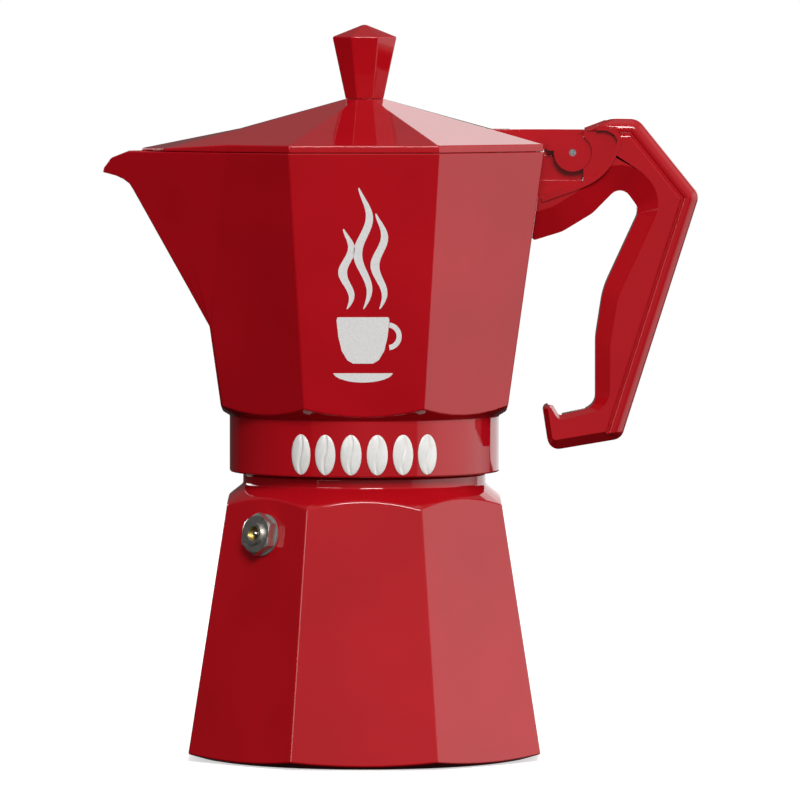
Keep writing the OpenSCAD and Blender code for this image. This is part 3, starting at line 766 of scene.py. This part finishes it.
def handle_ring(i):
    """A ring of the handle's near half: each side lies as far in and as deep as its profile."""
    insets, depths = [], []
    for *_, slope, beaded in handle_sides:
        insets.append(bead[i][0] if beaded else slope * slope_share[i])
        depths.append(bead[i][1] if beaded else edge_y + (handle_y - edge_y) * slope_share[i])
    steps = 6
    outline = rounded_outline([side[:3] for side in handle_sides], insets, steps)
    ring = []
    for k, p in enumerate(outline):
        corner, step = divmod(k, steps + 1)
        depth = depths[corner - 1] + (depths[corner] - depths[corner - 1]) * step / steps
        ring.append(Vector((p.x, -depth, p.y)))
    return ring


near_half = [handle_ring(i) for i in range(len(bead))]
far_half = [[Vector((p.x, -p.y, p.z)) for p in ring] for ring in near_half[::-1]]
handle = make_piece("handle_moulding", loft(near_half + far_half, capped=True))
handle.data.materials.append(red_nylon)


def ribbon(path, half_width):
    """A narrow outline along a path of points (x, z), whose corners are cut to a curve."""
    spots = [Vector(p) for p in path]
    for _ in range(3):
        cut = [q for a, b in zip(spots, spots[1:]) for q in (a.lerp(b, 0.25), a.lerp(b, 0.75))]
        spots = [spots[0], *cut, spots[-1]]
    left, right = [], []
    for i, spot in enumerate(spots):
        run = (spots[min(i + 1, len(spots) - 1)] - spots[max(i - 1, 0)]).normalized()
        across = Vector((-run.y, run.x)) * half_width
        left.append(spot + across)
        right.append(spot - across)
    return left + right[::-1]


leaf = rounded_outline([(60, 186.0, 0.2), (71.6, 186.2, 3), (75.0, 183.4, 1.4), (72.2, 176.4, 8),
                        (65.0, 170.9, 0.2), (60, 169, 0.2)])
leaf_y = 8.3
ridge_half, ridge_y = 0.75, 9.95
ridge = [(52.4, 165.6), (55.2, 166.7), (63.9, 169.7), (69.3, 172.6), (73.2, 177.3), (75.6, 183.4),
         (74.3, 185.6), (71.8, 186.9), (68.6, 186.8)]
for side in (-1, 1):
    low, high = sorted((side * 6, side * ridge_y))
    carve(handle, slab(ribbon(ridge, ridge_half), low, high, 0.45), "UNION")
    low, high = sorted((side * leaf_y, side * 12))
    carve(handle, slab(leaf, low, high))
# room for the lid's ears, for their barrels, for the tongue and for the screw and its head
ear_room_r, ear_room_half = 7.9, 7.6
barrel_room_r = 5.66
tongue_room = [(60, 172), (71.5, 172), (71.5, 202), (60, 202)]
tongue_room_half = 5.4
shank_r, head_r, head_seat = 2.15, 4, 161.5
carve(handle, cylinder(ear_room_r, (pin_x, -ear_room_half, pin_z),
                       (pin_x, ear_room_half, pin_z), 96))
carve(handle, cylinder(barrel_room_r, (pin_x, -20, pin_z), (pin_x, 20, pin_z), 96))
carve(handle, slab(tongue_room, -tongue_room_half, tongue_room_half))
carve(handle, cylinder(shank_r, (screw_x, 0, 150), (screw_x, 0, 180), 32))
carve(handle, cylinder(head_r, (screw_x, 0, 150), (screw_x, 0, head_seat), 32))
shade(handle, 24)
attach(handle, "pot")
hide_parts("handle")
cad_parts["handle_screw"].data.materials[0] = steel


# ---------------------------------------------------------------- lid
# A thin casting with eight roof facets and a flatter beak over the spout. A skirt inside the
# rim centres it, and a tongue with two ears turns on the hinge pin. It is lacquered like the pot.

lid_z = 180.1
eave_z = 182.2
eave_a = 52.7
roof_slope = 0.281
lid_thick = 2
skirt_a, skirt_inner, skirt_low = 48.92, 47.62, 178
crown_r, crown_low = 7, 190.41  # the thick middle that the knob's screw goes through
screw_hole_r = 2.2
lid_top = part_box("lid")[1].z / MM


def lid_ring(apothem, z, beak=None):
    """A ring of the lid. beak gives three points in place of the corners over the spout."""
    plain = octagon(apothem, z)
    near = [Vector(p) for p in beak] if beak else [
        plain[2].lerp(plain[3], 0.6), plain[3], plain[3].lerp(plain[4], 0.36)]
    far = [Vector((p.x, -p.y, p.z)) for p in near[::-1]]
    return soft_ring(plain[:3] + near + far + plain[5:], cut=0.45, along=6)


def roof(apothem, drop=0.0):
    """The roof's height at an apothem, or how high a surface lies a drop under it."""
    return eave_z + (eave_a - apothem) * roof_slope - drop


sole = lid_ring(eave_a, lid_z, [(-40.3, 34.5, lid_z), (-59, 18.2, lid_z), (-66, 5, lid_z)])
lid = make_piece("lid_shell", loft([
    round_ring(sole, screw_hole_r, lid_top), lid_ring(5.7, lid_top),
    lid_ring(20, roof(20)), lid_ring(34, roof(34)),
    lid_ring(52.2, roof(52.2),
             [(-40.05, 34.1, 182.35), (-37.67, 15.6, 186.42), (-36.1, 4.5, 186.86)]),
    lid_ring(eave_a, eave_z, [(-40.3, 34.5, eave_z), (-59, 18.2, 180.95), (-66, 5, 180.85)]),
    sole,
    lid_ring(skirt_a, lid_z, [(-37.9, 31.3, lid_z), (-56.8, 16.5, lid_z), (-63.2, 3.6, lid_z)]),
    lid_ring(skirt_a, skirt_low, [(-37.9, 31.3, skirt_low), (-56.2, 16.1, lid_z),
                                  (-62.6, 3.4, lid_z)]),
    lid_ring(skirt_inner, skirt_low, [(-37, 30.3, skirt_low), (-55.6, 15.7, lid_z),
                                      (-62, 3.2, lid_z)]),
    lid_ring(skirt_inner, 181.5, [(-37, 30.3, 181.3), (-54, 14.8, 180.9), (-60, 3.0, 180.9)]),
    lid_ring(34, roof(34, lid_thick), [(-32, 22, roof(34, lid_thick)),
                                       (-35.2, 14.6, roof(36, lid_thick)),
                                       (-34.4, 4.2, roof(35, lid_thick))]),
    lid_ring(9, roof(9, lid_thick)), round_ring(sole, crown_r, 192),
    round_ring(sole, crown_r, crown_low),
    round_ring(sole, screw_hole_r, crown_low), round_ring(sole, screw_hole_r, lid_top),
], {1: 0.3, 5: 0.35, 6: 0.3}))
lid.data.materials.append(red_lacquer)

# the tongue, and an ear with its barrel on each side of the lug
ear_in, ear_out, ear_r = 4.7, 7.4, 7.6
ear_barrel_r, lug_room_r, pin_fit = 5.6, 5.4, 1.05
tongue_top, tongue_end = 186.5, pin_x + 3
carve(lid, slab([(37.2, 186.2), (44, 183.6), (56, 185), (tongue_end, 185), (tongue_end, tongue_top),
                 (37.6, tongue_top)], -ear_in, ear_in, 0.3), "UNION")
reach = math.degrees(math.asin((tongue_top - pin_z) / ear_r))
ear = arc_points(pin_x, pin_z, ear_r, 180 - 4.6, 180 - reach, 10) + [
    (tongue_end, tongue_top), (tongue_end, 180.2)]
bridge = [(46, 180.5), (pin_x, 180.5), (tongue_end, tongue_top), (46, tongue_top)]
for side in (-1, 1):
    low, high = sorted((side * (ear_in - 0.3), side * ear_out))
    carve(lid, slab(ear, low, high), "UNION")
    carve(lid, cylinder(ear_barrel_r, (pin_x, low, pin_z), (pin_x, high, pin_z), 64), "UNION")
    low, high = sorted((side * (ear_in - 0.8), side * ear_in))
    carve(lid, slab(bridge, low, high), "UNION")
carve(lid, cylinder(lug_room_r, (pin_x, -ear_in, pin_z), (pin_x, ear_in, pin_z), 64))
carve(lid, cylinder(pin_fit, (pin_x, -20, pin_z), (pin_x, 20, pin_z), 32))
shade(lid)
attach(lid, "lid")
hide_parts("lid")
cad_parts["hinge_pin"].data.materials[0] = steel


# ---------------------------------------------------------------- knob
# An eight-sided nylon knob, flared upward to a low point, on a brass insert. A screw and a
# washer hold it from under the lid.

knob_foot, knob_high = lid_top + 0.05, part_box("knob")[1].z / MM
knob_edge = knob_high - 3.6
insert_r, insert_top = 3, 206


def knob_ring(apothem, z):
    """The knob's outline at a height."""
    return soft_ring(octagon(apothem, z), cut=0.35, along=5)


foot = knob_ring(5.6, knob_foot)
knob = make_piece("knob_moulding", loft([
    round_ring(foot, 0, insert_top), round_ring(foot, insert_r, insert_top),
    round_ring(foot, insert_r, knob_foot), foot,
    knob_ring(9.5, knob_edge), knob_ring(0.8, knob_high - 0.1), round_ring(foot, 0, knob_high),
], {3: 0.3, 4: 0.4}))
knob.data.materials.append(red_nylon)
shade(knob)
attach(knob, "lid")
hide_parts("knob")
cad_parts["knob_insert"].data.materials[0] = brass
for part in ("knob_screw", "knob_washer"):
    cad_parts[part].data.materials[0] = steel


# ---------------------------------------------------------------- studio
# Not part of the pot: a pale paper floor that the gloss doesn't mirror, a light tent that is
# bright on the right and dim low on the left, five soft boxes and the camera. The pot alone
# mirrors the tent, while the camera looks past the pot onto plain white.

plain_white = (1, 1, 1, 1)
floor_r = 1300
floor_mesh = bmesh.new()
bmesh.ops.create_circle(floor_mesh, cap_ends=True, segments=96, radius=floor_r)
floor = make_piece("floor", floor_mesh)
floor.visible_glossy = False
floor.visible_diffuse = False

# Matt background paper, lit evenly, with a faint mottle.
paper, tree, shader, place = new_material(
    "pale_paper", **{"Roughness": 0.9, "Specular IOR Level": 0.0,
                     "Emission Color": plain_white, "Emission Strength": 0.6})
mottle = add_node(tree, "ShaderNodeTexNoise", {"Vector": place, "Scale": 8.0, "Detail": 2.0})
tone = add_node(tree, "ShaderNodeMix",
                {0: mottle.outputs[0], 6: linear("#f1f1f0"), 7: linear("#f6f6f5")},
                data_type="RGBA")
tree.links.new(tone.outputs[2], shader.inputs["Base Color"])
floor.data.materials.append(paper)

world = bpy.data.worlds.new("studio")
world.use_nodes = True
bpy.context.scene.world = world
tree = world.node_tree
tree.nodes.clear()
# the tent's brightness by direction: a bright right side, plus a glow that fades downward, to
# the left and behind
way = add_node(tree, "ShaderNodeTexCoord").outputs["Generated"]
parts = add_node(tree, "ShaderNodeSeparateXYZ", {0: way})
right = add_node(tree, "ShaderNodeMapRange",
                 {"Value": parts.outputs[0], 1: 0.68, 2: 0.94, 3: 0.0, 4: 1.25},
                 interpolation_type="SMOOTHSTEP")
height = add_node(tree, "ShaderNodeMapRange",
                  {"Value": parts.outputs[2], 1: -0.35, 2: 0.35, 3: 0.02, 4: 0.5})
dim = add_node(tree, "ShaderNodeMapRange",
               {"Value": parts.outputs[0], 1: -0.8, 2: 0.0, 3: 0.1, 4: 1.0})
front = add_node(tree, "ShaderNodeMath", {0: height.outputs[0], 1: dim.outputs[0]},
                 operation="MULTIPLY")
behind = add_node(tree, "ShaderNodeMapRange",
                  {"Value": parts.outputs[1], 1: 0.2, 2: 0.8, 3: 1.0, 4: 0.3})
tent = add_node(tree, "ShaderNodeMath", {0: front.outputs[0], 1: behind.outputs[0]},
                operation="MULTIPLY")
total = add_node(tree, "ShaderNodeMath", {0: right.outputs[0], 1: tent.outputs[0]}, operation="ADD")
lit = add_node(tree, "ShaderNodeBackground", {"Color": plain_white, "Strength": total.outputs[0]})
white = add_node(tree, "ShaderNodeBackground", {"Color": plain_white, "Strength": 1.0})
ray = add_node(tree, "ShaderNodeLightPath")
pick = add_node(tree, "ShaderNodeMixShader", {0: ray.outputs["Is Camera Ray"],
                                              1: lit.outputs[0], 2: white.outputs[0]})
add_node(tree, "ShaderNodeOutputWorld", {"Surface": pick.outputs[0]})


def soft_box(name, place, target, width, height, watts):
    """A rectangular light aimed at a target, in metres, which the camera doesn't see."""
    light = bpy.data.lights.new(name, "AREA")
    light.shape, light.size, light.size_y, light.energy = "RECTANGLE", width, height, watts
    box = bpy.data.objects.new(name, light)
    bpy.context.scene.collection.objects.link(box)
    box.location = place
    box.rotation_euler = (Vector(target) - Vector(place)).to_track_quat("-Z", "Y").to_euler()
    box.visible_camera = False


pot_middle = (0, 0, 0.1)
soft_box("key", (0.3, -2.3, 1.5), pot_middle, 0.9, 0.9, 50)
soft_box("top", (0.0, 0.1, 2.2), pot_middle, 1.6, 1.6, 2)
soft_box("fill", (-1.1, -1.7, 0.6), pot_middle, 0.8, 0.8, 6.5)
soft_box("back_fill", (-1.5, 1.9, 0.7), pot_middle, 1.0, 1.0, 14)
soft_box("back_card", (0.73, 1.3, 0.46), (0.73, 0, 0.46), 1.34, 0.92, 5)

lens = bpy.data.cameras.new("camera")
lens.lens, lens.sensor_width = 379, 36
camera = bpy.data.objects.new("camera", lens)
bpy.context.scene.collection.objects.link(camera)
eye, aim = Vector((0.0105, -2.5, 0.217)), Vector((0.0105, 0, 0.106))
camera.location = eye
camera.rotation_euler = (aim - eye).to_track_quat("-Z", "Y").to_euler()
bpy.context.scene.camera = camera
bpy.context.scene.view_settings.view_transform = "Standard"
